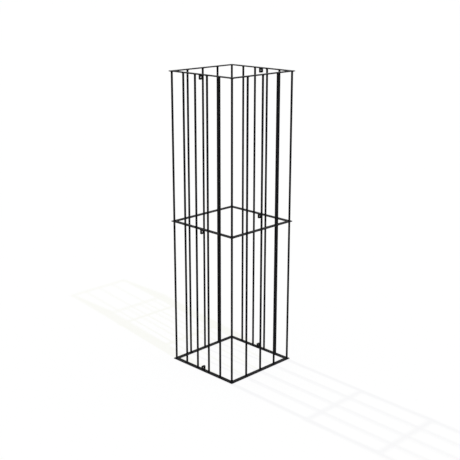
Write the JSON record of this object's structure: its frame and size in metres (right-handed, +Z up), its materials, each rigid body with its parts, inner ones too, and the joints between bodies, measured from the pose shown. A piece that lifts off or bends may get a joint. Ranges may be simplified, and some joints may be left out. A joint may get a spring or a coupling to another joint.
{
  "type": "tree guard",
  "caption": "Square open steel tree guard: round upright bars on flat-bar hoops, in two halves that bolt together round a trunk.",
  "frame": {"origin": "on the ground, at the middle of the guard's square base", "axes": "+Z up along the bars, +X from the back half to the front half, square to the plane where the halves meet"},
  "size_m": [0.5, 0.5, 1.746],
  "materials": {
    "black_powder_coat": "satin black powder coat on welded steel"
  },
  "bodies": {
    "back_half": {"bottom_back_rail": "black_powder_coat", "bottom_back_left_rail": "black_powder_coat", "bottom_back_right_rail": "black_powder_coat", "bottom_back_left_lug": "black_powder_coat", "bottom_back_right_lug": "black_powder_coat", "middle_back_rail": "black_powder_coat", "middle_back_left_rail": "black_powder_coat", "middle_back_right_rail": "black_powder_coat", "middle_back_left_lug": "black_powder_coat", "middle_back_right_lug": "black_powder_coat", "top_back_rail": "black_powder_coat", "top_back_left_rail": "black_powder_coat", "top_back_right_rail": "black_powder_coat", "top_back_left_lug": "black_powder_coat", "top_back_right_lug": "black_powder_coat", "back_bar_1": "black_powder_coat", "back_bar_2": "black_powder_coat", "back_bar_3": "black_powder_coat", "back_left_corner_bar": "black_powder_coat", "back_left_bar_1": "black_powder_coat", "back_left_bar_2": "black_powder_coat", "back_right_corner_bar": "black_powder_coat", "back_right_bar_1": "black_powder_coat", "back_right_bar_2": "black_powder_coat"},
    "front_half": {"bottom_front_rail": "black_powder_coat", "bottom_front_left_rail": "black_powder_coat", "bottom_front_right_rail": "black_powder_coat", "bottom_front_left_lug": "black_powder_coat", "bottom_front_right_lug": "black_powder_coat", "middle_front_rail": "black_powder_coat", "middle_front_left_rail": "black_powder_coat", "middle_front_right_rail": "black_powder_coat", "middle_front_left_lug": "black_powder_coat", "middle_front_right_lug": "black_powder_coat", "top_front_rail": "black_powder_coat", "top_front_left_rail": "black_powder_coat", "top_front_right_rail": "black_powder_coat", "top_front_left_lug": "black_powder_coat", "top_front_right_lug": "black_powder_coat", "front_bar_1": "black_powder_coat", "front_bar_2": "black_powder_coat", "front_bar_3": "black_powder_coat", "front_left_corner_bar": "black_powder_coat", "front_left_bar_1": "black_powder_coat", "front_left_bar_2": "black_powder_coat", "front_right_corner_bar": "black_powder_coat", "front_right_bar_1": "black_powder_coat", "front_right_bar_2": "black_powder_coat"}
  },
  "joints": [
    {"name": "front_half_slide", "type": "slide", "parent": "back_half", "child": "front_half", "axis": [1, 0, 0], "range_m": [0, 0.5]}
  ]
}
